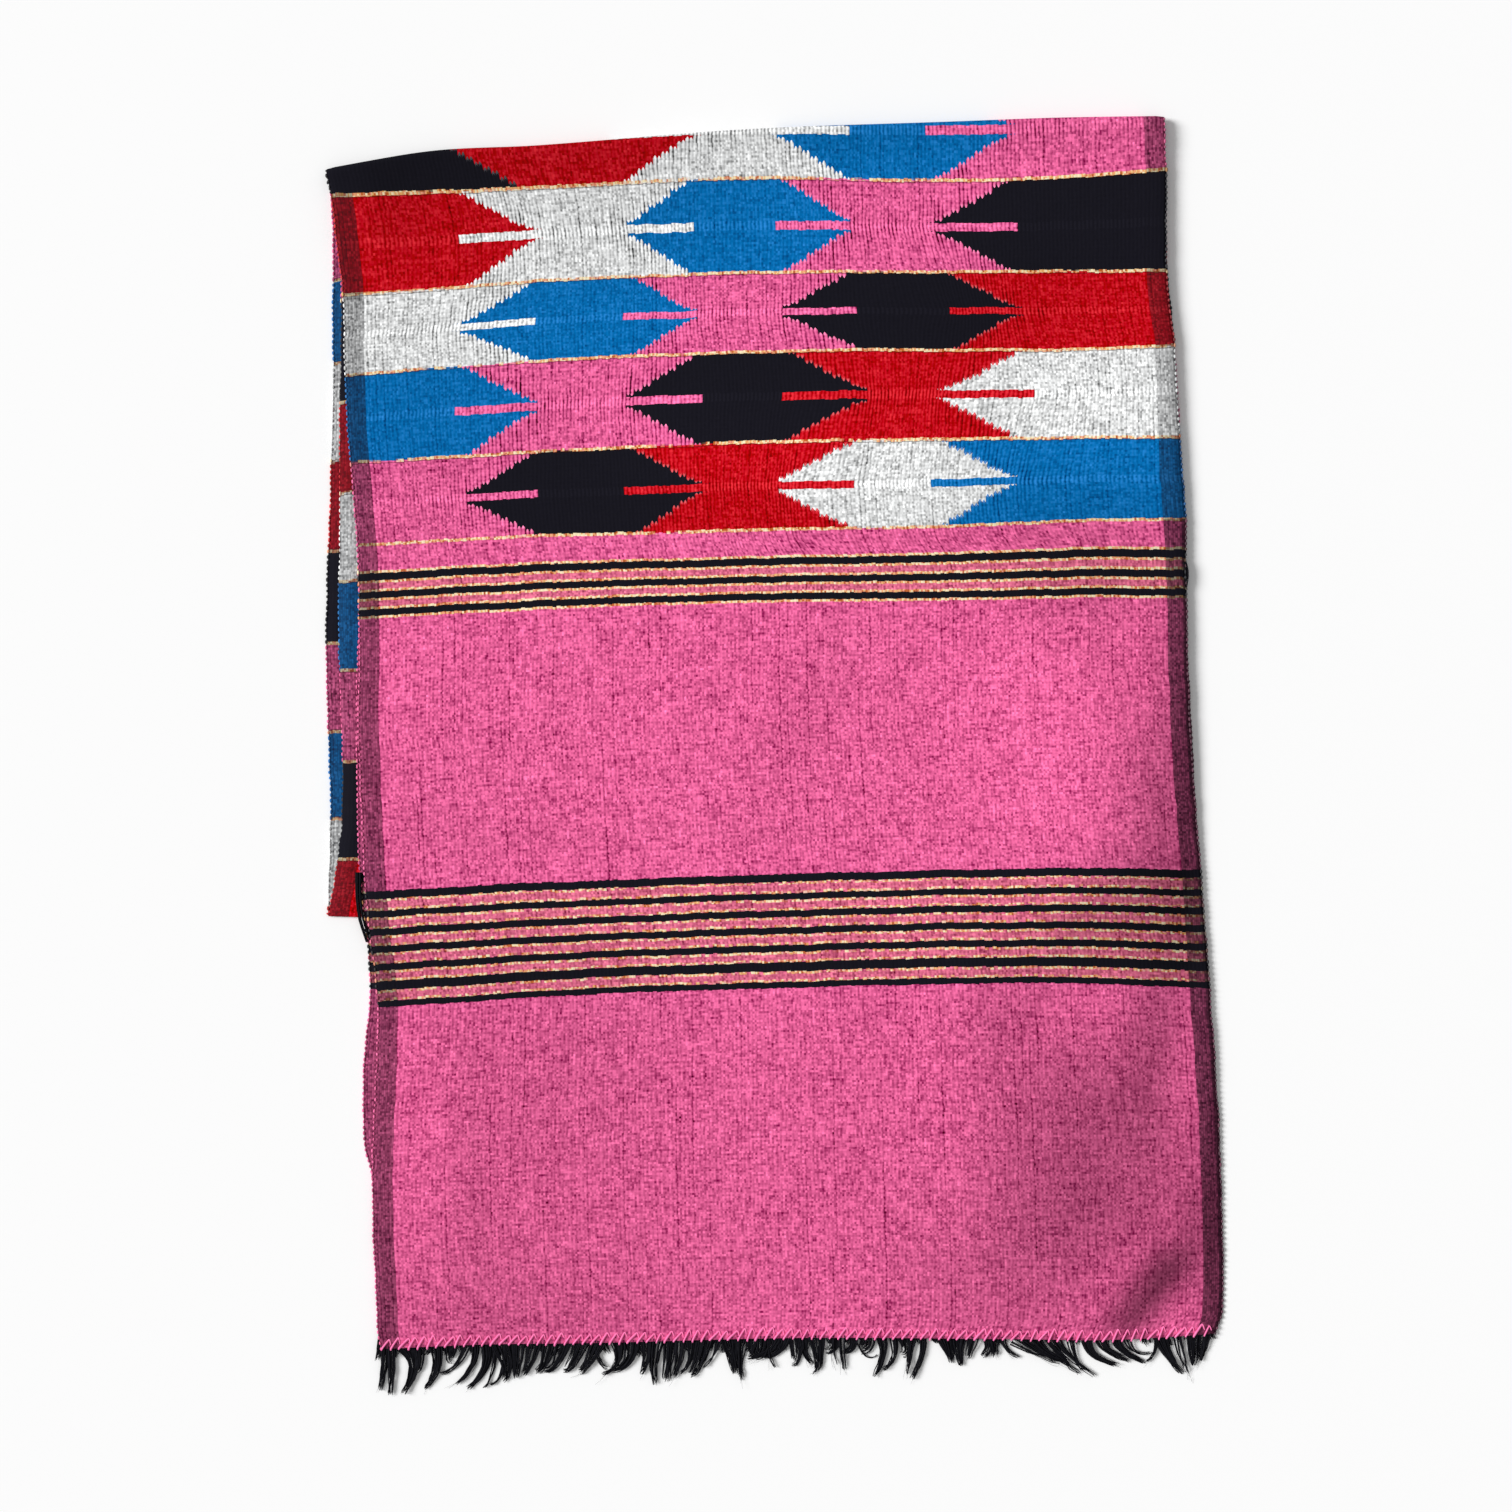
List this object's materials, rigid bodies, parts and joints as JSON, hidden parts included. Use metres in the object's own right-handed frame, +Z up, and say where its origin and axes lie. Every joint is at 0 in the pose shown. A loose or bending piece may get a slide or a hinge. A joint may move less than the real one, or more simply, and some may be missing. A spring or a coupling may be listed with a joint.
{
  "type": "half shawl",
  "caption": "Handwoven half shawl folded flat, with a plain pink field, an interlocking hexagon pattern, dark stripe bands and a black fringe.",
  "frame": {"origin": "on the floor, under the middle of the folded shawl", "axes": "+X across the cloth to the right of the front, +Y along the cloth from the fringed ends to the top fold, +Z up"},
  "size_m": [0.4928, 0.7017, 0.0085],
  "materials": {
    "shawl_cloth": "matte ribbed handwoven cotton with a woven hexagon pattern and fine gold lines",
    "folded_cloth": "matte ribbed handwoven cotton, the same cloth in its patterned middle",
    "fringe_thread": "soft black warp ends, slightly lustrous"
  },
  "bodies": {
    "root": {"front_panel": "shawl_cloth", "back_panel": "shawl_cloth", "folded_layers": "folded_cloth", "front_fringe": "fringe_thread", "back_fringe": "fringe_thread"}
  },
  "joints": []
}
